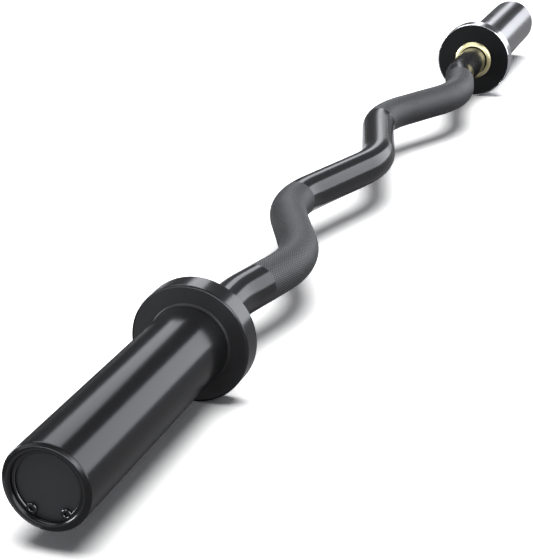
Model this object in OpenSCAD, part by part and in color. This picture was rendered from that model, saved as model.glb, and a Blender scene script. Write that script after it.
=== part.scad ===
// EZ curl bar: a bent 28 mm shaft that turns inside two 50 mm plate sleeves.
// X runs along the bar, the bends lie in the XY plane and Z is up.
// The origin is the middle of the bar, on the line through both sleeves.
// Every end piece is drawn at the right-hand end, and mirrored for the left.

/* [Shaft] */
// Diameter of the bent shaft where the hands hold it
shaft_d = 28; // [27:0.5:32]
// Diameter of the turned ends that run in the bushes
journal_d = 25; // [22:0.5:26]
// Radius of every bend, measured at the middle of the shaft
bend_radius = 95; // [70:5:120]
// Distance from the middle of the bar to each outermost bend
outer_bend_x = 328; // [318:1:340]
// Distance from the middle of the bar to each shallow bend
shallow_bend_x = 244; // [236:1:252]
// Offset of the shallow bends to one side of the sleeve line
shallow_bend_y = 19; // [14:1:26]
// Distance from the middle of the bar to each deep bend
deep_bend_x = 134; // [124:1:144]
// Offset of the deep bends to the other side of the sleeve line
deep_bend_y = 32.5; // [26:0.5:40]
// Offset of the bend in the middle, on the side of the shallow bends
middle_bend_y = 5.5; // [2:0.5:10]
// Bevel on the free ends of the shaft
shaft_end_bevel = 1; // [0.5:0.1:1.5]

/* [Collars] */
// Distance between the inner faces of the two collars
grip_span = 785; // [775:5:825]
// Outside diameter of the collars
collar_d = 76; // [70:1:90]
// Thickness of the collars
collar_thickness = 16; // [12:0.5:24]
// Width of the low hub around the sleeve, on the plate side
hub_width = 1; // [0.6:0.1:5]
// Height of that hub
hub_height = 1.2; // [0.4:0.1:4]
// Width of the bevel around the rim of the collars, on the radius
collar_bevel = 1.2; // [0.4:0.1:2]
// Depth of that bevel along the bar
collar_bevel_depth = 0.5; // [0.3:0.1:2]
// Width of the bare rim around the face plate
face_rim = 1.1; // [0.8:0.1:4]
// Thickness of the face plate that closes the collar on the grip side
face_thickness = 1.5; // [1:0.1:3]

/* [Sleeves] */
// Outside diameter of the sleeves, which the plates slide on
sleeve_d = 50; // [48:0.5:52]
// Length of each sleeve from its collar to its free end
sleeve_length = 191.5; // [120:0.5:420]
// Step down, on the radius, where the collar is pressed on
collar_seat_step = 0.6; // [0.4:0.1:2]
// Width of the bevel at the free end, across the rim
sleeve_bevel = 2.5; // [1:0.1:2.8]
// Depth of that bevel along the sleeve
sleeve_bevel_depth = 1.2; // [0.6:0.1:3]
// Diameter of the recess in the free end
recess_d = 40; // [39:0.5:41]
// Width of the ledge in the recess that the end plate lies on
plate_ledge = 1.5; // [0.8:0.1:2]
// Width of the ledge in the bore that each bush is pressed against
bush_ledge = 1.5; // [0.5:0.1:2.5]

/* [Bushes] */
// Wall thickness of the bronze bushes
bush_wall = 3.45; // [2.8:0.05:4.5]
// Length of the flanged bush inside the sleeve
inner_bush_length = 27; // [15:1:50]
// Length of the plain bush near the free end
outer_bush_length = 25; // [15:1:50]
// Diameter of the flange that shows around the shaft
flange_d = 38; // [36:0.5:44]
// Thickness of that flange
flange_thickness = 3; // [2:0.1:5]
// Width of the bevel on the flange
flange_bevel = 1.8; // [0.5:0.1:2.5]
// Depth of the bevel on the flange
flange_bevel_depth = 0.8; // [0.3:0.1:1.5]

/* [Washers and rings] */
// Thickness of each washer
washer_thickness = 1.5; // [1:0.1:3]
// Thickness of the ring that holds the shaft
shaft_ring_thickness = 1.2; // [1:0.1:2]
// Depth of the shaft ring's groove
shaft_groove_depth = 0.55; // [0.4:0.05:1]
// How far the shaft ring stands above the shaft
shaft_ring_stand = 2.6; // [2:0.1:3.2]
// Thickness of the ring that holds the end plate
end_ring_thickness = 1.75; // [1.2:0.05:2.5]
// Depth of the end ring below the rim of the sleeve
end_ring_depth = 2; // [1.5:0.1:4]
// Depth of the end ring's groove in the sleeve wall
end_groove_depth = 1.2; // [0.8:0.1:1.8]
// How far the end ring stands out of its groove
end_ring_stand = 1.9; // [1.2:0.1:2.6]
// Thickness of the plate that closes the sleeve
end_plate_thickness = 2.5; // [1.5:0.1:4]

/* [Clearances] */
// Gap between the shaft and each bush, on the radius
running_gap = 0.05; // [0.02:0.01:0.1]
// Gap between faces that turn against each other
thrust_gap = 0.3; // [0.3:0.05:0.6]
// Gap around pressed and seated pieces, on the radius
seat_gap = 0.02; // [0.01:0.01:0.05]
// Spare width of each ring's groove
groove_play = 0.1; // [0.05:0.05:0.2]
// Gap between the washers and the wall around them, on the radius
washer_gap = 0.6; // [0.4:0.1:1.5]
// Gap between the end of the shaft and the end plate
end_gap = 1; // [0.5:0.1:4]
// Gap around washers and the face plate's hole, on the radius
loose_gap = 0.3; // [0.3:0.05:0.5]

/* [Hidden] */
$fn = 72;

// Radii of the round pieces.
hub_bevel = 0.3;
shaft_r = shaft_d / 2;
journal_r = journal_d / 2;
sleeve_r = sleeve_d / 2;
collar_r = collar_d / 2;
collar_seat_r = sleeve_r - collar_seat_step;
hub_r = sleeve_r + hub_width;
bore_r = journal_r + running_gap;
bush_r = bore_r + bush_wall;
relief_r = bush_r - bush_ledge;
flange_r = flange_d / 2;
recess_r = recess_d / 2;
chamber_r = recess_r - plate_ledge;
washer_r = chamber_r - washer_gap;
face_r = collar_r - face_rim;

// Places along X of the collar, from the grip side outwards.
collar_in = grip_span / 2;
collar_out = collar_in + collar_thickness;
hub_out = collar_out + hub_height;
sleeve_end = collar_out + sleeve_length;
sleeve_start = collar_in + face_thickness;
flange_in = sleeve_start - flange_thickness;
shoulder_x = flange_in - thrust_gap;
inner_bush_end = sleeve_start + inner_bush_length;

// Places along X of the end stack, from the rim inwards.
end_ring_out = sleeve_end - end_ring_depth;
end_plate_out = end_ring_out - end_ring_thickness;
end_plate_in = end_plate_out - end_plate_thickness;
shaft_end = end_plate_in - end_gap;
ring_land = 2.2;
shaft_groove_w = shaft_ring_thickness + groove_play;
shaft_ring_in = shaft_end - ring_land - shaft_groove_w;
stop_washer_in = shaft_ring_in - washer_thickness;
wear_washer_in = stop_washer_in - thrust_gap - washer_thickness;
outer_bush_in = wear_washer_in - outer_bush_length;
shoulder_bevel = min(1, (shaft_r - journal_r) * 0.75);

// Rings: lug angles are measured from the middle of the ring's gap.
end_lug_r = 3;
end_lug_reach = 2.6;
end_lug_angle = 34;
end_lug_hole_r = 1.25;
shaft_lug_r = 2.4;
shaft_lug_angle = 18;
shaft_lug_hole_r = 1;

// Spare length that makes a cutting tool pass right through.
over = 1;
// The bends are a hair thicker than the straights, which end inside them.
bend_growth = 0.08;
tuck = 1;

// The bends from the left end to the right, as points in the XY plane.
// The deep bends lie on the +Y side.
bends = [
    [-outer_bend_x, 0],
    [-shallow_bend_x, -shallow_bend_y],
    [-deep_bend_x, deep_bend_y],
    [0, -middle_bend_y],
    [deep_bend_x, deep_bend_y],
    [shallow_bend_x, -shallow_bend_y],
    [outer_bend_x, 0]
];
route = concat([[-shoulder_x, 0]], bends, [[shoulder_x, 0]]);

// Direction from one point to the next, and its angle from +X.
function step(a, b) = (b - a) / norm(b - a);
function heading(a, b) = atan2(b[1] - a[1], b[0] - a[0]);
// Angle turned at point i of the route, positive to the left.
function turn(i) = heading(route[i], route[i + 1]) - heading(route[i - 1], route[i]);
// Distance from point i of the route to where its bend begins.
function bend_reach(i) =
    i == 0 || i == len(route) - 1 ? 0 : bend_radius * tan(abs(turn(i)) / 2);

// A rod along +X between two places.
module rod(r, from, to) {
    translate([from, 0, 0])
        rotate([0, 90, 0])
            cylinder(h = to - from, r = r);
}

// A ring along +X: an outside and an inside radius between two places.
module tube(r_out, r_in, from, to) {
    difference() {
        rod(r_out, from, to);
        rod(r_in, from - over, to + over);
    }
}

// A solid of revolution about X. The outline's points are [x, radius].
module turned(outline) {
    rotate([0, 90, 0])
        rotate_extrude()
            polygon([for (p = outline) [p[1], p[0]]]);
}

// Shows the right-hand piece, or its mirror image at the left.
module on_side(left) {
    if (left)
        mirror([1, 0, 0]) children();
    else
        children();
}

// The straight stretch between the bends at points i and i + 1 of the route.
// It reaches a little way into both bends.
module straight(i) {
    a = route[i];
    b = route[i + 1];
    translate([a[0], a[1], 0])
        rotate([0, 0, heading(a, b)])
            rod(shaft_r, bend_reach(i) - tuck, norm(b - a) - bend_reach(i + 1) + tuck);
}

// The bend at point i of the route, a part of a torus.
module bend(i) {
    side = sign(turn(i));
    back = heading(route[i - 1], route[i]);
    entry = route[i] - step(route[i - 1], route[i]) * bend_reach(i);
    middle = entry + bend_radius * side * [-sin(back), cos(back)];
    first = side > 0 ? back - 90 : back + 90 + turn(i);
    translate([middle[0], middle[1], 0])
        rotate([0, 0, first])
            rotate_extrude(angle = abs(turn(i)))
                translate([bend_radius, 0])
                    circle(r = shaft_r + bend_growth);
}

// The straight end of the shaft: a bevelled shoulder, the journal and its groove.
module shaft_tail() {
    tail_start = outer_bend_x + bend_reach(1) - tuck;
    groove_r = journal_r - shaft_groove_depth;
    groove_end = shaft_ring_in + shaft_groove_w;
    turned([
        [tail_start, 0],
        [tail_start, shaft_r],
        [shoulder_x - shoulder_bevel, shaft_r],
        [shoulder_x, shaft_r - shoulder_bevel],
        [shoulder_x, journal_r],
        [shaft_ring_in, journal_r],
        [shaft_ring_in, groove_r],
        [groove_end, groove_r],
        [groove_end, journal_r],
        [shaft_end - shaft_end_bevel, journal_r],
        [shaft_end, journal_r - shaft_end_bevel],
        [shaft_end, 0]
    ]);
}

// The whole shaft: one length of round steel, bent cold.
module shaft() {
    color("dimgray") {
        for (i = [1 : len(route) - 2])
            bend(i);
        for (i = [1 : len(route) - 3])
            straight(i);
        for (left = [true, false])
            on_side(left)
                shaft_tail();
    }
}

// The sleeve: bored for two bushes, with a stepped recess at the free end.
module sleeve() {
    groove_r = recess_r + end_groove_depth;
    turned([
        [sleeve_start, bush_r + seat_gap],
        [sleeve_start, collar_seat_r],
        [hub_out, collar_seat_r],
        [hub_out, sleeve_r],
        [sleeve_end - sleeve_bevel_depth, sleeve_r],
        [sleeve_end, sleeve_r - sleeve_bevel],
        [sleeve_end, recess_r],
        [end_ring_out + groove_play / 2, recess_r],
        [end_ring_out + groove_play / 2, groove_r],
        [end_plate_out - groove_play / 2, groove_r],
        [end_plate_out - groove_play / 2, recess_r],
        [end_plate_in, recess_r],
        [end_plate_in, chamber_r],
        [wear_washer_in, chamber_r],
        [wear_washer_in, bush_r + seat_gap],
        [outer_bush_in, bush_r + seat_gap],
        [outer_bush_in, relief_r],
        [inner_bush_end, relief_r],
        [inner_bush_end, bush_r + seat_gap]
    ]);
}

// The collar: a bevelled ring with a low hub and a recess for the face plate.
module collar() {
    hole_r = collar_seat_r + seat_gap;
    turned([
        [sleeve_start, hole_r],
        [sleeve_start, face_r + seat_gap],
        [collar_in, face_r + seat_gap],
        [collar_in, collar_r - face_rim / 2],
        [collar_in + collar_bevel_depth, collar_r],
        [collar_out - collar_bevel_depth, collar_r],
        [collar_out, collar_r - collar_bevel],
        [collar_out, hub_r],
        [hub_out - hub_bevel, hub_r],
        [hub_out, hub_r - hub_bevel],
        [hub_out, hole_r]
    ]);
}

// The thin black plate that covers the collar around the bush.
module face_plate() {
    tube(face_r, flange_r + loose_gap, collar_in, sleeve_start);
}

// The flanged bush that the shaft turns in at the collar.
module inner_bush() {
    turned([
        [flange_in, bore_r],
        [flange_in, flange_r - flange_bevel],
        [flange_in + flange_bevel_depth, flange_r],
        [sleeve_start, flange_r],
        [sleeve_start, bush_r],
        [inner_bush_end, bush_r],
        [inner_bush_end, bore_r]
    ]);
}

// The plain bush near the free end of the sleeve.
module outer_bush() {
    tube(bush_r, bore_r, outer_bush_in, wear_washer_in);
}

// The bronze washer that lies in the sleeve, against the outer bush.
module wear_washer() {
    tube(washer_r, journal_r + loose_gap,
        wear_washer_in, wear_washer_in + washer_thickness);
}

// The steel washer that turns with the shaft.
module stop_washer() {
    tube(washer_r, journal_r + seat_gap, stop_washer_in, shaft_ring_in);
}

// Two lugs of a retaining ring on either side of its gap, or their holes.
module lugs(r, reach, angle, from, to) {
    for (side = [-1, 1])
        rotate([side * angle, 0, 0])
            translate([0, 0, -reach])
                rod(r, from, to);
}

// A wedge below the axis that opens a retaining ring's gap.
module gap_wedge(angle, reach, from, to) {
    far = reach / cos(angle);
    rotate([0, 90, 0])
        translate([0, 0, from - over])
            linear_extrude(to - from + 2 * over)
                polygon([
                    [0, 0],
                    [far * cos(angle), far * sin(angle)],
                    [far * cos(angle), -far * sin(angle)]
                ]);
}

// The ring that snaps into the shaft's groove and keeps the sleeve on.
module shaft_ring() {
    ring_r = journal_r + shaft_ring_stand;
    inner_r = journal_r - shaft_groove_depth + seat_gap;
    ring_out = shaft_ring_in + shaft_ring_thickness;
    lug_reach = ring_r - shaft_lug_r / 3;
    difference() {
        union() {
            rod(ring_r, shaft_ring_in, ring_out);
            lugs(shaft_lug_r, lug_reach, shaft_lug_angle, shaft_ring_in, ring_out);
        }
        rod(inner_r, shaft_ring_in - over, ring_out + over);
        gap_wedge(shaft_lug_angle / 2, 2 * ring_r, shaft_ring_in, ring_out);
        lugs(shaft_lug_hole_r, lug_reach, shaft_lug_angle,
            shaft_ring_in - over, ring_out + over);
    }
}

// The plate that closes the free end of the sleeve.
module end_plate() {
    rod(recess_r - seat_gap, end_plate_in, end_plate_out);
}

// The ring that snaps into the sleeve's groove and holds the end plate.
module end_ring() {
    ring_r = recess_r + end_groove_depth - seat_gap;
    inner_r = recess_r - end_ring_stand;
    lug_place = recess_r - end_lug_reach;
    gap_angle = end_lug_angle - asin(end_lug_r / lug_place);
    difference() {
        union() {
            difference() {
                rod(ring_r, end_plate_out, end_ring_out);
                rod(inner_r, end_plate_out - over, end_ring_out + over);
                gap_wedge(gap_angle, 2 * ring_r, end_plate_out, end_ring_out);
            }
            lugs(end_lug_r, lug_place, end_lug_angle, end_plate_out, end_ring_out);
        }
        lugs(end_lug_hole_r, lug_place, end_lug_angle,
            end_plate_out - over, end_ring_out + over);
    }
}

// The pieces of both ends in their places and colours.
module left_sleeve() { color("#3a3b3e") on_side(true) sleeve(); }
module left_collar() { color("#2c2d30") on_side(true) collar(); }
module left_face_plate() { color("#1a1a1c") on_side(true) face_plate(); }
module left_inner_bush() { color("#c9b46a") on_side(true) inner_bush(); }
module left_outer_bush() { color("#b39a55") on_side(true) outer_bush(); }
module left_wear_washer() { color("#c9b46a") on_side(true) wear_washer(); }
module left_stop_washer() { color("silver") on_side(true) stop_washer(); }
module left_shaft_ring() { color("#55565a") on_side(true) shaft_ring(); }
module left_end_plate() { color("#38393c") on_side(true) end_plate(); }
module left_end_ring() { color("#1f2022") on_side(true) end_ring(); }
module right_sleeve() { color("gainsboro") on_side(false) sleeve(); }
module right_collar() { color("silver") on_side(false) collar(); }
module right_face_plate() { color("#1a1a1c") on_side(false) face_plate(); }
module right_inner_bush() { color("#c9b46a") on_side(false) inner_bush(); }
module right_outer_bush() { color("#b39a55") on_side(false) outer_bush(); }
module right_wear_washer() { color("#c9b46a") on_side(false) wear_washer(); }
module right_stop_washer() { color("silver") on_side(false) stop_washer(); }
module right_shaft_ring() { color("#55565a") on_side(false) shaft_ring(); }
module right_end_plate() { color("#38393c") on_side(false) end_plate(); }
module right_end_ring() { color("#1f2022") on_side(false) end_ring(); }

shaft();
left_sleeve();
left_collar();
left_face_plate();
left_inner_bush();
left_outer_bush();
left_wear_washer();
left_stop_washer();
left_shaft_ring();
left_end_plate();
left_end_ring();
right_sleeve();
right_collar();
right_face_plate();
right_inner_bush();
right_outer_bush();
right_wear_washer();
right_stop_washer();
right_shaft_ring();
right_end_plate();
right_end_ring();
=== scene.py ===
# %% [markdown]
# # A curl bar, half black and half chrome
#
# A curl bar is a short barbell with a bent middle, so that the wrists can turn a little while
# the arms lift. On the bench it comes apart into a bent shaft with two knurled grips, and at
# each end a sleeve for the plates, with its collar, face plate, end plate, bronze bushes,
# washers and retaining rings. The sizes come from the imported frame, which is the real bar in
# metres. This notebook makes the look: round pieces are turned on a small lathe made of nodes,
# the shaft is swept along its bends, and every finish is painted with nodes of its own.

# %% Load the frame
import math

import bmesh
import bpy
from mathutils import Matrix, Vector


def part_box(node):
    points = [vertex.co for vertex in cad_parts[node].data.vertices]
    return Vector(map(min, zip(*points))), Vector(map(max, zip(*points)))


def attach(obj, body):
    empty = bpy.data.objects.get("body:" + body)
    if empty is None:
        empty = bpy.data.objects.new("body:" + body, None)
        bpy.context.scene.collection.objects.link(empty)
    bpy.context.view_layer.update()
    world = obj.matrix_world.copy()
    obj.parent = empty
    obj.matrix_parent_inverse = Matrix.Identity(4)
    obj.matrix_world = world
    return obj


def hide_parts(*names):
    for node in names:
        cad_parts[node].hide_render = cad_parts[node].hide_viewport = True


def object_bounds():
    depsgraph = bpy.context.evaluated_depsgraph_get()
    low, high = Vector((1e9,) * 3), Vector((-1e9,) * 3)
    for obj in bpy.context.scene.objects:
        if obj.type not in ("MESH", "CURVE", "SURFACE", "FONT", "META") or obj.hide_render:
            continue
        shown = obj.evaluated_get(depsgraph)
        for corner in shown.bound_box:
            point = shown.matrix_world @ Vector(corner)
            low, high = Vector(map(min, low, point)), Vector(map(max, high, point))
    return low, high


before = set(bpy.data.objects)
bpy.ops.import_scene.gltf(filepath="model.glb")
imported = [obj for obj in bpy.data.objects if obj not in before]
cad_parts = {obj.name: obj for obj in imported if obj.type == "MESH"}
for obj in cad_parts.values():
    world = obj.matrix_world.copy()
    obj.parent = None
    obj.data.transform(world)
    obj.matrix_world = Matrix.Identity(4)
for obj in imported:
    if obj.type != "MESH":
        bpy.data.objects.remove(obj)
cad_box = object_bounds()

# %% [markdown]
# ## The camera
#
# The camera comes first, because it decides what shows. The photograph looks along the bar
# from above its near end. The place and the focal length were found by laying the round
# outlines of both collars and of the near end over the photograph. They fit to a quarter of
# a pixel, so the render can be laid over the photograph too. The focal length was found in
# pixels, and Blender wants millimetres, so it is turned into those of a 36 mm sensor.

# %% The camera at the photograph's viewpoint
PHOTO_LONG_SIDE = 560
FOCAL_PIXELS = 1565.3
SENSOR_MM = 36
CAMERA_PLACE = Vector((-1.21387, -0.33146, 0.37524))
CAMERA_YAW = 0.33683
CAMERA_PITCH = -0.3664


def in_scene(name, data):
    """A new object for a mesh, a curve, a lamp or a camera, put in the scene."""
    made = bpy.data.objects.new(name, data)
    bpy.context.scene.collection.objects.link(made)
    return made


camera_data = bpy.data.cameras.new("camera")
camera_data.sensor_width = SENSOR_MM
camera_data.lens = FOCAL_PIXELS / PHOTO_LONG_SIDE * SENSOR_MM
camera = in_scene("camera", camera_data)
aim = Vector((
    math.cos(CAMERA_PITCH) * math.cos(CAMERA_YAW),
    math.cos(CAMERA_PITCH) * math.sin(CAMERA_YAW),
    math.sin(CAMERA_PITCH),
))
camera.location = CAMERA_PLACE
camera.rotation_euler = aim.to_track_quat("-Z", "Y").to_euler()
bpy.context.scene.camera = camera
bpy.context.scene.view_settings.view_transform = "Standard"
print("lens", round(camera_data.lens, 2), "mm")

# %% [markdown]
# ## Sizes
#
# The frame says where each piece begins and ends, so those places are read and never typed
# again. A turned piece needs the steps in between as well, such as bevels and ledges, and each
# of these gets its value where its outline is drawn, in millimetres times `MM`. The right-hand
# end is the pattern for both ends: the left one is its mirror image.

# %% Sizes read from the frame
MM = 0.001
CM = 0.01


def span(node):
    """Where a piece at the right-hand end starts and ends along the bar, and its radius."""
    low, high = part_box(node)
    return low.x, high.x, high.z


sleeve_start, sleeve_end, sleeve_r = span("right_sleeve")
collar_in, hub_out, collar_r = span("right_collar")
face_r = span("right_face_plate")[2]
flange_in, inner_bush_end, flange_r = span("right_inner_bush")
plate_in, plate_out, plate_r = span("right_end_plate")
ring_out = span("right_end_ring")[1]
washer_in = span("right_wear_washer")[0]
outer_bush_in, _, bush_r = span("right_outer_bush")
ring_in = span("right_shaft_ring")[0]
shaft_end = span("shaft")[1]
print("sleeve", round(sleeve_r / MM, 2), "mm radius, ends at", round(sleeve_end / MM, 1))
print("grip between the collars", round(2 * collar_in / MM, 1), "mm")

# %% [markdown]
# ## Painting with nodes
#
# A finish made of nodes is a formula over the surface, so it stays sharp from any distance and
# needs no picture. Typing out every node and every wire would take pages. `add` puts one node
# in a tree and wires it in the same call, and `sum_of` does a step of arithmetic. The trees
# that make shapes further down use the same helpers.

# %% Adding and wiring a node


def add(tree, kind, inputs=(), **settings):
    """Adds a node. Each input is a pair of a socket and a value, or the output that feeds it."""
    made = tree.nodes.new(kind)
    for name, value in settings.items():
        setattr(made, name, value)
    for socket, value in inputs:
        if isinstance(value, bpy.types.NodeSocket):
            tree.links.new(value, made.inputs[socket])
        else:
            made.inputs[socket].default_value = value
    return made


def sum_of(tree, operation, first, second=0.0):
    """One Math node, and its result."""
    inputs = [(0, first), (1, second)]
    return add(tree, "ShaderNodeMath", inputs, operation=operation).outputs[0]


def parts_of(tree, vector):
    """The three numbers of a vector."""
    return add(tree, "ShaderNodeSeparateXYZ", [(0, vector)]).outputs


trial = bpy.data.node_groups.new("trial", "GeometryNodeTree")
sum_of(trial, "ADD", sum_of(trial, "MULTIPLY", 2.0, 3.0), 1.0)
print("a trial sum takes", len(trial.nodes), "nodes and", len(trial.links), "wire")
bpy.data.node_groups.remove(trial)

# %% [markdown]
# ## The finishes
#
# Every surface on this bar is metal or a thin coat on metal, so its look is mostly what it
# reflects. The colour is mostly one constant, and the life is in the roughness and in very
# shallow bumps. Each finish is therefore a few noises at the size of the real marks, wired to
# those two sockets. A picture of scratches could do the same, but it would blur close up.

# %% Marks that metalworking leaves
NOISE_LOW = 0.3
NOISE_HIGH = 0.7


def new_finish(name, colour, roughness, metallic=0.0, gloss=0.5):
    """A material whose Principled shader has these constant values."""
    material = bpy.data.materials.new(name)
    material.use_nodes = True
    shader = material.node_tree.nodes["Principled BSDF"]
    shader.inputs["Base Color"].default_value = (*colour, 1)
    shader.inputs["Roughness"].default_value = roughness
    shader.inputs["Metallic"].default_value = metallic
    shader.inputs["Specular IOR Level"].default_value = gloss
    return material, material.node_tree, shader


def noise(tree, place, scale, detail=3.0):
    """A noise between 0 and 1 at a place, after a stretch along each axis."""
    stretched = add(tree, "ShaderNodeMapping", [("Vector", place), ("Scale", scale)])
    inputs = [("Vector", stretched.outputs[0]), ("Scale", 1.0), ("Detail", detail)]
    return add(tree, "ShaderNodeTexNoise", inputs).outputs["Fac"]


def spread(tree, value, low, high):
    """Maps a noise from where most of its values lie to the range from low to high."""
    inputs = [("Value", value), ("From Min", NOISE_LOW), ("From Max", NOISE_HIGH),
              ("To Min", low), ("To Max", high)]
    return add(tree, "ShaderNodeMapRange", inputs).outputs[0]


def bump(tree, shader, height, distance):
    """Wires a height, a noise times a distance in metres, into a shader's normal."""
    made = add(tree, "ShaderNodeBump", [("Height", height), ("Distance", distance)])
    tree.links.new(made.outputs[0], shader.inputs["Normal"])


print("most of a noise lies between", NOISE_LOW, "and", NOISE_HIGH)

# %% [markdown]
# ## Turned metal
#
# Sleeves, collars and bushes come off a lathe, and the cutting tool leaves fine rings on them.
# A noise that reads only the distance along the bar and the distance from its middle line
# draws such rings on walls and on faces alike. An anisotropic shader would stretch the
# highlights in the same way, but the rings would be missing close up. The near end of the bar
# in the photograph is black and the far end chrome, so there are two finishes of each kind.

# %% Turned finishes
RINGS_PER_METRE = 1600
PATCHES_PER_METRE = (25, 40, 40)


def ring_place(tree, place):
    """Distance along the bar and distance from its middle line, as a place of its own."""
    along, across, up = parts_of(tree, place)
    squares = sum_of(tree, "ADD", sum_of(tree, "MULTIPLY", across, across),
                     sum_of(tree, "MULTIPLY", up, up))
    inputs = [(0, along), (1, sum_of(tree, "SQRT", squares))]
    return add(tree, "ShaderNodeCombineXYZ", inputs).outputs[0]


def turned_finish(name, colour, rough_low, rough_high, metallic=0.0, depth=0.0004, gloss=0.5):
    """A lathe-turned surface: fine rings, and soft patches where it was handled."""
    material, tree, shader = new_finish(name, colour, rough_low, metallic, gloss)
    place = add(tree, "ShaderNodeTexCoord").outputs["Object"]
    rings = noise(tree, ring_place(tree, place), (RINGS_PER_METRE,) * 3, 2.0)
    patches = noise(tree, place, PATCHES_PER_METRE)
    both = sum_of(tree, "MULTIPLY", sum_of(tree, "ADD", rings, patches), 0.5)
    tree.links.new(spread(tree, both, rough_low, rough_high), shader.inputs["Roughness"])
    bump(tree, shader, rings, depth * MM)
    return material


sleeve_black = turned_finish("sleeve_black", (0.014, 0.0142, 0.0152), 0.17, 0.22)
collar_black = turned_finish("collar_black", (0.026, 0.0263, 0.028), 0.15, 0.2, gloss=0.7)
sleeve_chrome = turned_finish("sleeve_chrome", (0.45, 0.45, 0.465), 0.17, 0.22, 1.0)
collar_chrome = turned_finish("collar_chrome", (0.9, 0.9, 0.92), 0.13, 0.18, 1.0)
steel = turned_finish("washer_steel", (0.42, 0.42, 0.43), 0.25, 0.4, 1.0)
print("a ring from the cutting tool is about", round(1 / RINGS_PER_METRE / MM, 2), "mm wide")

# %% [markdown]
# ## Matt faces on the collars
#
# The plates are pushed against the flat faces of a collar, so these are left rougher than its
# polished rim. Two materials on one piece would need the faces sorted by hand. A step in the
# roughness at the radius where the bevel begins does it inside the one finish.

# %% A rougher face inside the bevel
COLLAR_BEVEL = 1.2 * MM
COLLAR_FACE_R = collar_r - COLLAR_BEVEL
FACE_ROUGHNESS = 0.22


def radius_here(tree):
    """How far a point of the surface lies from the middle line of the bar."""
    place = add(tree, "ShaderNodeTexCoord").outputs["Object"]
    return parts_of(tree, ring_place(tree, place))[1]


def with_matt_face(material):
    """Makes a collar's turned faces less polished than its rim."""
    tree = material.node_tree
    rough = tree.nodes["Principled BSDF"].inputs["Roughness"]
    face = sum_of(tree, "LESS_THAN", radius_here(tree), COLLAR_FACE_R)
    more = sum_of(tree, "MULTIPLY", face, FACE_ROUGHNESS)
    tree.links.new(sum_of(tree, "ADD", rough.links[0].from_socket, more), rough)


for collar_finish in (collar_black, collar_chrome):
    with_matt_face(collar_finish)
print("the collars' faces are matt inside", round(COLLAR_FACE_R / MM, 1), "mm")

# %% [markdown]
# ## Bronze, with oil and painted shade
#
# The flange of the inner bush is the one warm colour on the bar. It is turned bronze, and close
# to the shaft its colour is darkened: partly by the oil that creeps out of the bush, and partly
# as painted shade in the groove beside the shaft. The distance from the middle line is already
# there for the turning rings, so it mixes the two colours as well.

# %% Bronze with oil and painted shade near the shaft
BRONZE_COLOUR = (0.82, 0.74, 0.41, 1)
OIL_AND_SHADE_COLOUR = (0.012, 0.011, 0.008, 1)
OIL_AND_SHADE_R = 14.6 * MM
BARE_BRONZE_R = 14.9 * MM


def paint(tree, share, first, second):
    """Wires a mix of two colours, from the first to the second, into the finish's colour."""
    inputs = [(0, share), (6, first), (7, second)]
    mixed = add(tree, "ShaderNodeMix", inputs, data_type="RGBA").outputs[2]
    tree.links.new(mixed, tree.nodes["Principled BSDF"].inputs["Base Color"])


def bronze_finish():
    """Turned bronze, darkened round the shaft in the middle by oil and by painted shade."""
    material = turned_finish("bush_bronze", BRONZE_COLOUR[:3], 0.24, 0.34, 1.0, depth=0.001)
    tree = material.node_tree
    # Oil and painted shade: the bronze turns dark close to the shaft.
    bare_bronze_share = add(tree, "ShaderNodeMapRange", [
        ("Value", radius_here(tree)), ("From Min", OIL_AND_SHADE_R), ("From Max", BARE_BRONZE_R),
    ]).outputs[0]
    paint(tree, bare_bronze_share, OIL_AND_SHADE_COLOUR, BRONZE_COLOUR)
    return material


bronze = bronze_finish()
print("the bronze finish has", len(bronze.node_tree.nodes), "nodes")

# %% [markdown]
# ## Thin plates and rings
#
# The face plates are powder coated and matt, with the fine pebble of such a coat. The end
# plates are moulded and a little lighter. The retaining rings are spring steel with a dark
# phosphate finish, and along their edges the bare steel shows. Four materials wired by hand
# would do, but they would repeat each other, so one function makes them from a few values.

# %% Coated and moulded finishes
CLOUDS_PER_METRE = 120
FACE_GLOSS = 0.2


def pebbled_finish(name, colour, rough_low, rough_high, grain, depth, metallic=0.0, gloss=0.5):
    """A coated or moulded surface with a fine, even pebble."""
    material, tree, shader = new_finish(name, colour, rough_low, metallic, gloss)
    place = add(tree, "ShaderNodeTexCoord").outputs["Object"]
    pebble = noise(tree, place, (grain,) * 3, 2.0)
    clouds = noise(tree, place, (CLOUDS_PER_METRE,) * 3)
    tree.links.new(spread(tree, clouds, rough_low, rough_high), shader.inputs["Roughness"])
    bump(tree, shader, pebble, depth * MM)
    return material


face_black = pebbled_finish("face_plate_black", (0.006, 0.006, 0.0065), 0.42, 0.52, 2400, 0.01,
                            gloss=FACE_GLOSS)
end_black = pebbled_finish("end_plate_black", (0.042, 0.0425, 0.045), 0.45, 0.55, 1800, 0.008)
ring_dark = pebbled_finish("ring_steel", (0.007, 0.007, 0.0075), 0.18, 0.26, 3000, 0.002)
ring_worn = pebbled_finish("ring_worn_edge", (0.16, 0.16, 0.165), 0.2, 0.3, 3000, 0.002, 1.0)
print("the face plate's finish has", len(face_black.node_tree.nodes), "nodes")

# %% [markdown]
# ## The shaft's gloss
#
# The shaft is bent, so a pattern on plain coordinates would run off its line. Its mesh holds
# an attribute named `straightened`: the place of each point as if the bar were still straight,
# before bending. The polish leaves faint streaks along the bar, and they follow every bend
# because they are drawn on that straight bar. A UV map could carry them too, but it would
# have a seam along the shaft.

# %% The polished black shaft
SHAFT_COLOUR = (0.03, 0.0303, 0.032)
SHAFT_GLOSS = 0.55
SHAFT_ROUGHNESS = (0.15, 0.2)
STREAKS_PER_METRE = (12, 900, 900)
RIPPLES_PER_METRE = (150, 220, 220)
RIPPLE_DEPTH = 0.002 * MM


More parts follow.
